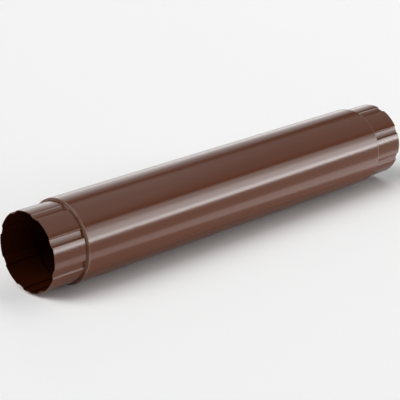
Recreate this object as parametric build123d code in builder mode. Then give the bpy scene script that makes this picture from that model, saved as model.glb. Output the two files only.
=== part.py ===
from build123d import *
from math import radians, sqrt, tan
import os

# A round downpipe of coated sheet steel: a plain barrel with a drawn-in, fluted spigot on each end.
# +X runs along the pipe, +Z is up, and the origin is on the floor under the middle of the barrel.
# All lengths are in millimetres and all angles in degrees.

# Barrel
barrel_diameter = 100.0  # outside
barrel_length = 500.0  # from shoulder to shoulder
sheet = 0.6  # thickness of the coated steel

# Spigots, which push into the next fitting
spigot_step = 2.9  # from the barrel's outside in to the lobes' outside
spigot_length = 46.0  # from the end of the barrel to the mouth
shoulder_slope = 85.0  # of the cone between barrel and spigot, from the axis
shoulder_bend = 0.4  # inside radius of the bends at the shoulder
collar_length = 0.6  # round stretch between the shoulder and the flutes
collar_drop = 0.1  # of its start below the lobes, which rise a little as the flutes are rolled
collar_fall = 0.1  # of the collar over its length

# Flutes, the grooves rolled into each spigot
flute_count = 8
flute_turn = 17.5  # of the first flute, from the top of the pipe towards -Y
flute_width = 10.5  # across its opening, on the lobes' circle
flute_depth = 1.9  # at its middle, below the lobes' circle
flute_floor_radius = 30.0  # of its hollow floor
flute_flank = 1.05  # sideways run of each of its flanks
flute_bend = 0.3  # inside radius of the bends along it
flute_end_slope = 65.0  # of the wall that closes it, from the axis

# Lock seam along the underside, folded to the inside
seam_width = 8.0  # of the folded strip
seam_fold = 1.2  # what the fold adds inside the sheet
seam_line_width = 0.7  # of the line that shows outside, along one edge of the strip
seam_line_depth = 0.3

# Sizes that follow from these
barrel_radius = barrel_diameter / 2
spigot_radius = barrel_radius - spigot_step
collar_radius = spigot_radius - collar_drop
collar_end_radius = collar_radius - collar_fall
floor_radius = spigot_radius - flute_depth
barrel_end = barrel_length / 2
mouth = barrel_end + spigot_length
collar_start = barrel_end + (barrel_radius - collar_radius) / tan(radians(shoulder_slope))
collar_end = collar_start + collar_length
core_radius = floor_radius - flute_depth  # the walls that close the flutes start below every floor
core_end = collar_end + (collar_end_radius - core_radius) / tan(radians(flute_end_slope))
spigot_start = barrel_end - 5.0  # inside the barrel, so that the spigots run into the shoulders
past_mouth = 10.0  # how far the hollow is carried past each mouth, to leave it open
pipe_axis = Axis((0, 0, barrel_radius), (1, 0, 0))


def across(x):
    # plane across the pipe at x, its own X along +Y and its own Y up
    return Plane(origin=(x, 0, barrel_radius), x_dir=(0, 1, 0), z_dir=(1, 0, 0))


def fluted_section(depth):
    # section of a spigot, as far below its outside face as depth says
    half_opening = flute_width / 2
    half_floor = half_opening - flute_flank
    edge_height = sqrt(spigot_radius**2 - half_opening**2)
    floor_edge = floor_radius + flute_floor_radius - sqrt(flute_floor_radius**2 - half_floor**2)
    flank_middle = sqrt((edge_height + floor_edge) ** 2 / 4 + (half_opening + half_floor) ** 2 / 4)
    with BuildSketch() as groove:
        with BuildLine():
            flank = Line((half_opening, edge_height), (half_floor, floor_edge))
            ThreePointArc((half_floor, floor_edge), (0, floor_radius), (-half_floor, floor_edge))
            Line((-half_floor, floor_edge), (-half_opening, edge_height))
            Polyline(
                (-half_opening, edge_height),
                (-half_opening, barrel_radius),
                (half_opening, barrel_radius),
                flank @ 0,
            )
        make_face()
    with BuildSketch() as section:
        Circle(spigot_radius)
        with PolarLocations(0, flute_count, start_angle=flute_turn):
            add(groove.sketch, mode=Mode.SUBTRACT)
        fillet(section.vertices().filter_by(lambda v: v.center().length < flank_middle), flute_bend)
        lobe_edges = section.vertices().filter_by(lambda v: v.center().length > spigot_radius - 0.01)
        fillet(lobe_edges, flute_bend + sheet)
        if depth > 0:
            offset(amount=-depth)
    return section.sketch


def turned_section(depth):
    # lengthwise section of the barrel, shoulders and collars, with the core that closes the flutes
    upper = [
        (-core_end, core_radius),
        (-collar_end, collar_end_radius),
        (-collar_start, collar_radius),
        (-barrel_end, barrel_radius),
        (barrel_end, barrel_radius),
        (collar_start, collar_radius),
        (collar_end, collar_end_radius),
        (core_end, core_radius),
    ]
    with BuildSketch() as section:
        with BuildLine():
            Polyline(*upper, *[(x, -r) for x, r in reversed(upper)], close=True)
        make_face()
        corners = section.vertices()
        barrel_corners = corners.filter_by(lambda v: abs(abs(v.X) - barrel_end) < 0.01)
        fillet(barrel_corners, shoulder_bend + sheet)
        root_corners = section.vertices().filter_by(lambda v: abs(abs(v.X) - collar_start) < 0.01)
        fillet(root_corners, shoulder_bend)
        if depth > 0:
            offset(amount=-depth)
        split(bisect_by=Plane.XZ, keep=Keep.BOTTOM)
    return section.sketch


def envelope(depth, reach):
    # the pipe as if solid, as far below its outside face as depth says, out to x = reach on both sides
    with BuildPart() as body:
        with BuildSketch(Plane((0, 0, barrel_radius), x_dir=(1, 0, 0), z_dir=(0, -1, 0))):
            add(turned_section(depth))
        revolve(axis=pipe_axis)
        for side in (1, -1):
            with BuildSketch(across(side * spigot_start)):
                add(fluted_section(depth))
            extrude(amount=side * (reach - spigot_start))
    return body.part


def wall_line(depth):
    # the lobes' and barrel's wall along the pipe, as far below its outside face as depth says
    bend_shift = depth * tan(radians(shoulder_slope) / 2)
    half = [
        (barrel_end - bend_shift, barrel_radius - depth),
        (collar_start - bend_shift, spigot_radius - depth),
        (mouth, spigot_radius - depth),
    ]
    return [(-x, -r) for x, r in reversed(half)] + [(x, -r) for x, r in half]


def seam_bar(outer_depth, inner_depth, middle, width):
    # a bar that follows the underside's wall from mouth to mouth, between two depths
    with BuildPart() as bar:
        with BuildSketch(Plane((0, middle, barrel_radius), x_dir=(1, 0, 0), z_dir=(0, -1, 0))):
            with BuildLine():
                Polyline(*wall_line(outer_depth), *reversed(wall_line(inner_depth)), close=True)
            make_face()
        extrude(amount=width / 2, both=True)
    return bar.part


with BuildPart() as downpipe:
    add(envelope(0, mouth))
    add(envelope(sheet, mouth + past_mouth), mode=Mode.SUBTRACT)
    add(seam_bar(sheet / 2, sheet + seam_fold, 0, seam_width))
    add(seam_bar(-sheet, seam_line_depth, -seam_width / 2, seam_line_width), mode=Mode.SUBTRACT)

downpipe.part.label = "downpipe"
os.makedirs("parts", exist_ok=True)
export_step(downpipe.part, "parts/downpipe.step")
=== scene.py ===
import math
from functools import partial

import bpy
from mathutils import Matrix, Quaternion, Vector


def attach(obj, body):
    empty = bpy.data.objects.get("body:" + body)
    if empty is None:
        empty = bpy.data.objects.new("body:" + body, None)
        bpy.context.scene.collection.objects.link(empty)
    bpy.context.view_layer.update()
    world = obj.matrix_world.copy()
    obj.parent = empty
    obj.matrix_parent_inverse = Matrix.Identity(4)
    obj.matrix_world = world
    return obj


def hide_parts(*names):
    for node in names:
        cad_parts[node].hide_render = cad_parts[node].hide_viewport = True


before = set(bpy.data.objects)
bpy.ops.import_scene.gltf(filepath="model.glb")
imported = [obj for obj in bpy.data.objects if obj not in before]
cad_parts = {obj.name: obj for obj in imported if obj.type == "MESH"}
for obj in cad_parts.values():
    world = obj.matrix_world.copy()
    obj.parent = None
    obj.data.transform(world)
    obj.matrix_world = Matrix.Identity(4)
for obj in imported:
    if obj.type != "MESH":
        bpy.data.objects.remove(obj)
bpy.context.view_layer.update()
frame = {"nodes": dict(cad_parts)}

print("frame loaded, nodes:", ", ".join(frame["nodes"]))


# node helpers

def addNode(tree, kind, **settings):
    node = tree.nodes.new(kind)
    for name, value in settings.items():
        setattr(node, name, value)
    return node


def feed(tree, socket, value):  # a link or a fixed value
    if isinstance(value, bpy.types.NodeSocket):
        tree.links.new(value, socket)
    else:
        socket.default_value = value


def calc(tree, operation, *values):
    node = addNode(tree, "ShaderNodeMath", operation=operation)
    for socket, value in zip(node.inputs, values):
        feed(tree, socket, value)
    return node.outputs[0]


def ease(tree, value, lo, hi):  # 0 at lo, 1 at hi, rounded at both ends
    node = addNode(tree, "ShaderNodeMapRange", interpolation_type="SMOOTHSTEP")
    for name, item in (("Value", value), ("From Min", lo), ("From Max", hi)):
        feed(tree, node.inputs[name], item)
    return node.outputs["Result"]


def ramp(tree, value, lo):  # 0 up to lo, then straight to 1 at lo + 1
    node = addNode(tree, "ShaderNodeMapRange")
    for name, item in (("Value", value), ("From Min", lo), ("From Max", lo + 1)):
        feed(tree, node.inputs[name], item)
    return node.outputs["Result"]


# pipe: one flat sheet, rolled up and pressed into shape by Geometry Nodes, sizes in mm and degrees

mm = 0.001  # in metres

pipe = {
    "Barrel Radius": 50.0,
    "Barrel End": 250.0,  # half the barrel's length
    "Mouth": 296.0,  # half the whole length
    "Sheet": 0.6,
    "Spigot Step": 2.9,
    "Shoulder Slope": 85.0,
    "Shoulder Bend": 0.4,  # inside radius
    "Collar": 0.6,  # plain stretch before the flutes
    "Flute Count": 8.0,
    "Flute Turn": 17.5,  # from the top towards -Y
    "Flute Width": 10.5,
    "Flute Depth": 1.9,  # at the middle of its hollow floor
    "Flute Hollow": 0.49,  # how much shallower the floor is at its edges
    "Flute Flank": 1.05,  # sideways run
    "Flute Bend": 0.3,  # inside radius
    "Flute End Slope": 65.0,
    "Seam Width": 8.0,
    "Seam Fold": 1.2,
    "Seam Soft": 0.2,  # rounding of the strip's edges, to each side
    "Line Width": 0.7,
    "Line Depth": 0.3,
}

sheetRows = {  # rows of the sheet along the pipe
    "outside": 2,  # how much closer the rows stand in bends and flute ends
    "inside": 1,
    "barrel": (0.25, 0.5, 0.75, 0.92, 0.98, 0.992, 0.997),  # shares of half the barrel
    "upperBend": 5,
    "wall": 3,
    "lowerBend": 3,
    "fluteEnd": 0.25,  # gap between rows from the shoulder to the flutes' floors
    "ontoFloor": 0.9,  # how far those rows go on
    "floor": (1.3, 2.5, 8, 17, 26, 35),  # from the start of the floors
    "mouth": (2.5, 0.6, 0.2),  # before the mouth
    # rounded rim: mm before the mouth, and share of the sheet's thickness
    "rim": ((0.09, 0.04), (0.02, 0.16), (0.0, 0.35), (0.0, 0.65), (0.02, 0.84), (0.09, 0.96)),
    "rimSpan": 45.0,  # mm of spigot to one station, near enough
}

sheetColumns = {  # columns of the sheet round the pipe, in mm from a flute's middle or edge
    "floor": (1.3, 2.6),
    "beforeFlank": 1.1,
    "flank": (0.5, 1.0, 0.13),  # in from the floor's edge, out past the lobe's edge, gap
    "lobe": (1.5, 3.0, 5.5, 8.0, 10.5),
    "seamEdge": (-0.45, -0.2, -0.08, 0.04, 0.16, 0.4),
    "lineSide": 0.25,  # past the seam's line
    "lineShares": (1, 0.6, 0.2),  # of half the line's width
    "leastGap": 0.04,  # degrees, closer columns are left out
}

paintedHighlights = {  # painted highlights: pale colour standing in for light on the bends and the shoulder wall, 0 to 1
    "edge": 0.8,  # along the barrel's edge
    "edgeRise": (0.9965, 1.0),  # stations where that comes and goes
    "edgeFall": (1.4, 2.0),
    "shoulder": 0.65,  # on the shoulder's wall
    "flute": 0.5,  # along the flutes' outline
    "fluteReach": 0.7,  # mm of depth that it takes in
}


def steps(lo, hi, gap):
    count = max(1, round((hi - lo) / gap))
    return [lo + (hi - lo) * k / count for k in range(count + 1)]


def evenly(first, count):  # count stations, starting at first and stopping short of first + 1
    return [first + k / count for k in range(count)]


def spigotStart():  # where the shoulder's lower bend ends, from the middle of the pipe
    slope = math.radians(pipe["Shoulder Slope"])
    bends = 2 * pipe["Shoulder Bend"] + pipe["Sheet"]
    wall = pipe["Spigot Step"] / math.sin(slope) - bends * math.tan(slope / 2)
    upper = pipe["Barrel End"] - (pipe["Shoulder Bend"] + pipe["Sheet"]) * math.tan(slope / 2)
    return upper + bends * math.sin(slope) + wall * math.cos(slope)


def lengthStations(fine):
    # 0 to 1 half the barrel, 1 to 2 upper bend, 2 to 3 shoulder wall, 3 to 4 lower bend, 4 to 5 spigot
    start, mouth = spigotStart(), pipe["Mouth"]
    endRun = pipe["Flute Depth"] / math.tan(math.radians(pipe["Flute End Slope"]))
    floor = start + pipe["Collar"] + endRun
    half = list(sheetRows["barrel"])
    half += evenly(1, sheetRows["upperBend"] * fine)
    half += evenly(2, sheetRows["wall"])
    half += evenly(3, sheetRows["lowerBend"] * fine)
    spigot = steps(start, floor + sheetRows["ontoFloor"], sheetRows["fluteEnd"] / fine)
    spigot += [floor + x for x in sheetRows["floor"]] + [mouth - x for x in sheetRows["mouth"]]
    half += [4 + (x - start) / (mouth - start) for x in spigot]
    return [-u for u in reversed(half)] + [0.0] + half


def angleStations():
    # degrees from the top of the pipe towards -Y, closer together on the flutes and the seam
    lobe = pipe["Barrel Radius"] - pipe["Spigot Step"]
    pitch = 360 / pipe["Flute Count"]
    edge = pipe["Flute Width"] / 2
    floorEdge = edge - pipe["Flute Flank"]
    inward, past, gap = sheetColumns["flank"]
    side = list(sheetColumns["floor"]) + [floorEdge - sheetColumns["beforeFlank"]]
    side += steps(floorEdge - inward, edge + past, gap)
    side += [edge + t for t in sheetColumns["lobe"]]
    angles = []
    for k in range(int(pipe["Flute Count"])):
        middle = pipe["Flute Turn"] + k * pitch
        angles += [middle] + [middle + s * math.degrees(t / lobe) for t in side for s in (1, -1)]
    seam = pipe["Seam Width"] / 2
    line = pipe["Line Width"] / 2
    lineSides = [line + sheetColumns["lineSide"]] + [line * t for t in sheetColumns["lineShares"]]
    across = [s * (seam + t) for t in sheetColumns["seamEdge"] for s in (1, -1)]
    across += [seam + s * t for t in lineSides for s in (1, -1)]
    angles += [180 - math.degrees(t / pipe["Barrel Radius"]) for t in across]
    angles = sorted(a % 360 for a in angles)
    following = angles[1:] + [angles[0] + 360]
    return [a for a, after in zip(angles, following) if after - a > sheetColumns["leastGap"]]


def flatSheet():
    # one closed loop of rows: along the outside, round the far rim, back inside, round the near rim
    rim = [(5 - before / sheetRows["rimSpan"], share) for before, share in sheetRows["rim"]]
    rows = [(u, 0.0) for u in lengthStations(sheetRows["outside"])] + rim
    rows += [(-u, 1.0) for u in lengthStations(sheetRows["inside"])]
    rows += [(-u, 1 - share) for u, share in rim]
    angles = angleStations()
    points = [(u, math.radians(a), share) for u, share in rows for a in angles]
    wide = len(angles)
    faces = []
    for i in range(len(rows)):
        near, far = i * wide, (i + 1) % len(rows) * wide
        for j in range(wide):
            k = (j + 1) % wide
            faces.append((near + j, near + k, far + k, far + j))
    mesh = bpy.data.meshes.new("sheet")
    mesh.from_pydata(points, [], faces)
    return mesh


def pipeTree(material):
    tree = bpy.data.node_groups.new("rollPipe", "GeometryNodeTree")
    panel = tree.interface
    panel.new_socket("Geometry", in_out="INPUT", socket_type="NodeSocketGeometry")
    sockets = {}
    for name in pipe:
        socket = panel.new_socket(name, in_out="INPUT", socket_type="NodeSocketFloat")
        sockets[name] = socket.identifier
    panel.new_socket("Geometry", in_out="OUTPUT", socket_type="NodeSocketGeometry")
    source = addNode(tree, "NodeGroupInput")
    size = {name: source.outputs[name] for name in pipe}

    operations = ("ADD", "SUBTRACT", "MULTIPLY", "DIVIDE", "MULTIPLY_ADD", "ABSOLUTE", "MAXIMUM")
    plus, minus, times, divided, timesPlus, absolute, larger = (
        partial(calc, tree, operation) for operation in operations)
    sine, cosine, tangent, radians = (
        partial(calc, tree, operation) for operation in ("SINE", "COSINE", "TANGENT", "RADIANS"))

    # a point of the flat sheet: its station along the pipe, angle round it, 0 outside to 1 inside
    place = addNode(tree, "ShaderNodeSeparateXYZ")
    feed(tree, place.inputs[0], addNode(tree, "GeometryNodeInputPosition").outputs[0])
    station, angle, inside = place.outputs
    notInside = minus(1.0, inside)
    depth = times(inside, size["Sheet"])  # below the outside face

    # barrel, shoulder with its two bends, and spigot, each from its own stretch of stations
    count = absolute(station)
    part = [ramp(tree, count, k) for k in range(5)]
    notLower = minus(1.0, part[3])
    slope = radians(size["Shoulder Slope"])
    lean = tangent(times(slope, 0.5))
    slopeSine, slopeCosine = sine(slope), cosine(slope)
    outside = plus(size["Shoulder Bend"], size["Sheet"])
    upperBend = minus(outside, depth)
    lowerBend = plus(size["Shoulder Bend"], depth)
    bends = plus(outside, size["Shoulder Bend"])
    wallLength = minus(divided(size["Spigot Step"], slopeSine), times(bends, lean))
    upper = minus(size["Barrel End"], times(outside, lean))
    lower = timesPlus(wallLength, slopeCosine, timesPlus(bends, slopeSine, upper))
    turnIn = times(part[1], slope)
    turnOut = times(notLower, slope)
    walked = times(part[2], wallLength)
    reach = times(part[0], upper)
    reach = timesPlus(sine(turnIn), upperBend, reach)
    reach = timesPlus(walked, slopeCosine, reach)
    reach = timesPlus(minus(slopeSine, sine(turnOut)), lowerBend, reach)
    reach = timesPlus(part[4], minus(size["Mouth"], lower), reach)
    along = times(reach, calc(tree, "SIGN", station))
    drop = times(minus(1.0, cosine(turnIn)), upperBend)
    drop = timesPlus(walked, slopeSine, drop)
    drop = timesPlus(minus(cosine(turnOut), slopeCosine), lowerBend, drop)
    wall = minus(minus(size["Barrel Radius"], depth), drop)

    # flutes: a hollow floor between two steep flanks, closed by a slanted wall at the collar
    half = divided(math.pi, size["Flute Count"])
    turned = minus(angle, radians(size["Flute Turn"]))
    offMiddle = calc(tree, "WRAP", turned, half, times(half, -1))
    lobeOutside = minus(size["Barrel Radius"], size["Spigot Step"])
    aside = times(absolute(offMiddle), lobeOutside)
    edgeDepth = minus(size["Flute Depth"], size["Flute Hollow"])
    flankRise = divided(edgeDepth, size["Flute Flank"])
    flankLean = tangent(times(calc(tree, "ARCTANGENT", flankRise), 0.5))
    edge = timesPlus(depth, flankLean, times(size["Flute Width"], 0.5))
    flank = times(minus(edge, aside), flankRise)
    share = divided(aside, minus(edge, size["Flute Flank"]))
    hollow = times(times(share, share), size["Flute Hollow"])
    floor = minus(size["Flute Depth"], hollow)
    endSlope = radians(size["Flute End Slope"])
    endLean = tangent(times(endSlope, 0.5))
    root = plus(size["Barrel End"], divided(size["Spigot Step"], tangent(slope)))
    start = minus(plus(root, size["Collar"]), times(depth, endLean))
    endWall = times(minus(reach, start), tangent(endSlope))
    flankBend = times(flankRise, flankLean)
    floorBend = times(plus(size["Flute Bend"], depth), flankBend)
    edgeBend = times(minus(plus(size["Flute Bend"], size["Sheet"]), depth), flankBend)
    groove = calc(tree, "SMOOTH_MIN", floor, flank, floorBend)
    groove = calc(tree, "SMOOTH_MIN", groove, endWall, floorBend)
    groove = calc(tree, "SMOOTH_MAX", groove, 0.0, edgeBend)

    # lock seam on the underside: folded strip inside, fine line outside
    under = times(minus(math.pi, angle), size["Barrel Radius"])
    seamHalf = times(size["Seam Width"], 0.5)
    softFrom, softTo = plus(seamHalf, size["Seam Soft"]), minus(seamHalf, size["Seam Soft"])
    strip = ease(tree, absolute(under), softFrom, softTo)
    fold = times(times(strip, size["Seam Fold"]), inside)
    fromLine = absolute(minus(under, seamHalf))
    line = ease(tree, fromLine, times(size["Line Width"], 0.5), 0.0)
    line = times(times(line, size["Line Depth"]), notInside)

    # painted highlights: pale colour standing in for light along the barrel's edge, on the shoulder
    # wall and along the flutes' outline
    edgeRise = ease(tree, count, *paintedHighlights["edgeRise"])
    edgeFall = ease(tree, count, *paintedHighlights["edgeFall"])
    barrelEdge = times(minus(edgeRise, edgeFall), paintedHighlights["edge"])
    paintedWallLight = times(times(part[1], notLower), paintedHighlights["shoulder"])
    outline = absolute(calc(tree, "MINIMUM", flank, endWall))
    fluteEdge = times(ease(tree, outline, paintedHighlights["fluteReach"], 0.0), paintedHighlights["flute"])
    paintedHighlight = times(larger(larger(barrelEdge, paintedWallLight), fluteEdge), notInside)

    # the point rolled up, in metres
    radius = minus(minus(wall, groove), plus(fold, line))
    spot = addNode(tree, "ShaderNodeCombineXYZ")
    feed(tree, spot.inputs[0], along)
    feed(tree, spot.inputs[1], times(times(radius, sine(angle)), -1))
    feed(tree, spot.inputs[2], timesPlus(radius, cosine(angle), size["Barrel Radius"]))
    metres = addNode(tree, "ShaderNodeVectorMath", operation="SCALE")
    feed(tree, metres.inputs[0], spot.outputs[0])
    feed(tree, metres.inputs["Scale"], mm)

    sheet = source.outputs["Geometry"]
    for name, value in (("inside", inside), ("paintedHighlight", paintedHighlight)):  # kept for the coat
        keep = addNode(tree, "GeometryNodeStoreNamedAttribute", data_type="FLOAT", domain="POINT")
        feed(tree, keep.inputs["Name"], name)
        feed(tree, keep.inputs["Value"], value)
        feed(tree, keep.inputs["Geometry"], sheet)
        sheet = keep.outputs["Geometry"]
    move = addNode(tree, "GeometryNodeSetPosition")
    feed(tree, move.inputs["Position"], metres.outputs[0])
    smooth = addNode(tree, "GeometryNodeSetShadeSmooth")
    realize = addNode(tree, "GeometryNodeRealizeInstances")
    paint = addNode(tree, "GeometryNodeSetMaterial")
    feed(tree, paint.inputs["Material"], material)
    for node in (move, smooth, realize, paint):
        feed(tree, node.inputs["Geometry"], sheet)
        sheet = node.outputs["Geometry"]
    feed(tree, addNode(tree, "NodeGroupOutput").inputs["Geometry"], sheet)
    return tree, sockets


def rollPipe(material):
    obj = bpy.data.objects.new("rolled_pipe", flatSheet())
    bpy.context.collection.objects.link(obj)
    tree, sockets = pipeTree(material)
    roll = obj.modifiers.new("roll", "NODES")
    roll.node_group = tree
    for name, value in pipe.items():
        roll[sockets[name]] = value
    graph = bpy.context.evaluated_depsgraph_get()
    rolled = obj.evaluated_get(graph)
    mesh = bpy.data.meshes.new_from_object(rolled, preserve_all_data_layers=True, depsgraph=graph)
    obj.modifiers.remove(roll)
    obj.data = mesh
    mesh.name = "rolled_pipe"
    return obj


# brown coat: glossy stoved paint, faint orange peel, pale painted highlights on the bends and the
# shoulder wall, and near-black painted shade inside the bore

coat = {
    "brown": (0.096, 0.0250, 0.0072, 1),
    "brownDeep": (0.089, 0.0228, 0.0064, 1),
    "cloudScale": 9.0,  # slow change between the two browns, and of the gloss
    "cloudDetail": 3.0,
    "paintedHighlightColour": (0.200, 0.120, 0.090, 1),  # painted highlight: pale colour on the bends and the shoulder wall
    "patchScale": 90.0,  # the painted highlights are a little uneven
    "patchDetail": 2.0,
    "patchRange": (0.1, 0.6),
    # painted shade: near-black colour inside the bore, where it lies in shade
    "paintedBoreShade": (0.034, 0.0068, 0.0019, 1),
    "paintedBoreShadeRange": (0.55, 0.95),  # where it starts on the cut rim, 0 outside to 1 inside
    "roughness": (0.16, 0.20),
    "duller": 0.12,  # added to the roughness under the painted highlights
    "ior": 1.4,
    "peelScale": 420.0,
    "peelDetail": 1.0,
    "peelStrength": 0.03,
    "peelHeight": 0.0005,  # metres
}


def grain(tree, where, scale, detail):
    node = addNode(tree, "ShaderNodeTexNoise")
    for name, value in (("Vector", where), ("Scale", scale), ("Detail", detail)):
        feed(tree, node.inputs[name], value)
    return node.outputs["Fac"]


def blend(tree, share, first, second):  # from one colour to another
    node = addNode(tree, "ShaderNodeMix", data_type="RGBA")
    feed(tree, node.inputs["Factor"], share)
    feed(tree, node.inputs[6], first)  # the colour sockets, after those for numbers and vectors
    feed(tree, node.inputs[7], second)
    return node.outputs[2]


def brownCoat():
    material = bpy.data.materials.new("brownCoat")
    material.use_nodes = True
    tree = material.node_tree
    shader = tree.nodes["Principled BSDF"]
    where = addNode(tree, "ShaderNodeTexCoord").outputs["Object"]
    paintedHighlight = addNode(tree, "ShaderNodeAttribute", attribute_name="paintedHighlight").outputs["Fac"]
    inside = addNode(tree, "ShaderNodeAttribute", attribute_name="inside").outputs["Fac"]

    cloud = grain(tree, where, coat["cloudScale"], coat["cloudDetail"])
    patches = grain(tree, where, coat["patchScale"], coat["patchDetail"])
    # painted highlight: pale colour on the bends and the shoulder wall, broken up a little
    paintedHighlightShare = calc(tree, "MULTIPLY", paintedHighlight, ease(tree, patches, *coat["patchRange"]))
    colour = blend(tree, cloud, coat["brown"], coat["brownDeep"])
    colour = blend(tree, paintedHighlightShare, colour, coat["paintedHighlightColour"])
    # painted shade: the inside of the bore turns near black
    colour = blend(tree, ease(tree, inside, *coat["paintedBoreShadeRange"]), colour, coat["paintedBoreShade"])
    feed(tree, shader.inputs["Base Color"], colour)

    gloss = addNode(tree, "ShaderNodeMapRange")
    feed(tree, gloss.inputs["Value"], cloud)
    for name, value in zip(("To Min", "To Max"), coat["roughness"]):
        feed(tree, gloss.inputs[name], value)
    roughness = calc(tree, "MULTIPLY_ADD", paintedHighlightShare, coat["duller"], gloss.outputs["Result"])
    feed(tree, shader.inputs["Roughness"], roughness)

    bump = addNode(tree, "ShaderNodeBump")
    feed(tree, bump.inputs["Strength"], coat["peelStrength"])
    feed(tree, bump.inputs["Distance"], coat["peelHeight"])
    feed(tree, bump.inputs["Height"], grain(tree, where, coat["peelScale"], coat["peelDetail"]))
    feed(tree, shader.inputs["Normal"], bump.outputs["Normal"])
    shader.inputs["IOR"].default_value = coat["ior"]
    return material


rolledPipe = rollPipe(brownCoat())
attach(rolledPipe, "root")
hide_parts("downpipe")
print("pipe rolled,", len(rolledPipe.data.polygons), "faces")


# studio: pale floor, softboxes, fill and camera, in metres

studio = {
    "floor": (0.95, 0.95, 0.95, 1),
    "floorReach": 30.0,  # from the middle to each side
    "world": 0.15,
    "fillFrom": (-0.62, 0.22, 0.75),  # broad light from high on the left, even all over the floor
    "fillSpread": 45.0,
    "fill": 0.53,
}


def paleFloor():
    mesh = bpy.data.meshes.new("floor")
    far = studio["floorReach"]
    corners = [(-far, -far, 0), (far, -far, 0), (far, far, 0), (-far, far, 0)]
    mesh.from_pydata(corners, [], [(0, 1, 2, 3)])
    floor = bpy.data.objects.new("floor", mesh)
    bpy.context.collection.objects.link(floor)
    material = bpy.data.materials.new("paleFloor")
    material.use_nodes = True
    shader = material.node_tree.nodes["Principled BSDF"]
    shader.inputs["Base Color"].default_value = studio["floor"]
    shader.inputs["Roughness"].default_value = 1.0
    shader.inputs["Specular IOR Level"].default_value = 0.0
    mesh.materials.append(material)


forward, backward, upward, downward = (0, -1, 0), (0, 1, 0), (0, 0, 1), (0, 0, -1)

softboxes = {  # place, way it faces, width, height, brightness, turn in degrees if any
    "keyLow": ((7.68, -7.8, 0.665), backward, 7.2, 0.96, 16.4),
    "keyMid": ((8.25, -7.8, 2.555), backward, 7.2, 2.79, 7.1),
    "keyTop": ((8.76, -7.8, 5.21), backward, 7.2, 2.49, 3.05),
    "strip": ((0.055, -0.0985, 0.002), upward, 0.8, 0.05, 1.42, 2.9),  # flat, in front of the pipe
    "overNear": ((6.0, -1.65, 9.65), downward, 6.0, 13.2, 1.02),
    "overFar": ((12.0, -1.65, 9.65), downward, 6.0, 13.2, 0.56),
    "backLow": ((6.6, 6.6, 1.16), forward, 6.6, 1.98, 2.0),
    "backNear": ((4.95, 6.6, 3.425), forward, 3.3, 2.55, 1.5),
    "backFar": ((8.25, 6.6, 3.425), forward, 3.3, 2.55, 1.06),
    "backHighNear": ((4.95, 6.6, 6.35), forward, 3.3, 3.3, 0.82),
    "backHighFar": ((8.25, 6.6, 6.35), forward, 3.3, 3.3, 0.54),
    "left": ((-6.6, 0.9, 4.7), (6.6, -0.9, -4.7), 7.2, 6.0, 1.2),
}


def addSoftbox(name, place, way, width, height, brightness, turn=0):
    light = bpy.data.lights.new(name, "AREA")
    light.shape = "RECTANGLE"
    light.size, light.size_y = width, height
    light.energy = brightness * math.pi * width * height
    lamp = bpy.data.objects.new(name, light)
    lamp.location = place
    facing = Vector(way).to_track_quat("-Z", "Y")
    lamp.rotation_euler = (Quaternion((0, 0, 1), math.radians(turn)) @ facing).to_euler()
    lamp.visible_camera = False
    bpy.context.collection.objects.link(lamp)


def addFill():
    light = bpy.data.lights.new("fill", "SUN")
    light.energy = studio["fill"] * math.pi
    light.angle = math.radians(studio["fillSpread"])
    lamp = bpy.data.objects.new("fill", light)
    lamp.rotation_euler = Vector(studio["fillFrom"]).to_track_quat("Z", "Y").to_euler()
    bpy.context.collection.objects.link(lamp)


def addWorld():
    world = bpy.data.worlds.new("studio")
    world.use_nodes = True
    back = world.node_tree.nodes["Background"]
    back.inputs["Color"].default_value = (1, 1, 1, 1)
    back.inputs["Strength"].default_value = studio["world"]
    bpy.context.scene.world = world


viewpoint = {
    "place": (-1.23885, -1.20628, 0.6467),
    "way": (0.66736, 0.66624, -0.33279),
    "sensor": 36.0,
    "lens": 135.4,
    "farthest": 200.0,
}


def addCamera():
    data = bpy.data.cameras.new("camera")
    data.sensor_fit = "HORIZONTAL"
    data.sensor_width = viewpoint["sensor"]
    data.lens = viewpoint["lens"]
    data.clip_end = viewpoint["farthest"]
    camera = bpy.data.objects.new("camera", data)
    camera.location = viewpoint["place"]
    camera.rotation_euler = Vector(viewpoint["way"]).to_track_quat("-Z", "Y").to_euler()
    bpy.context.collection.objects.link(camera)
    bpy.context.scene.camera = camera


paleFloor()
for name, values in softboxes.items():
    addSoftbox(name, *values)
addFill()
addWorld()
addCamera()
bpy.context.scene.view_settings.view_transform = "Standard"
print("studio lit by", len(softboxes), "softboxes and the fill")
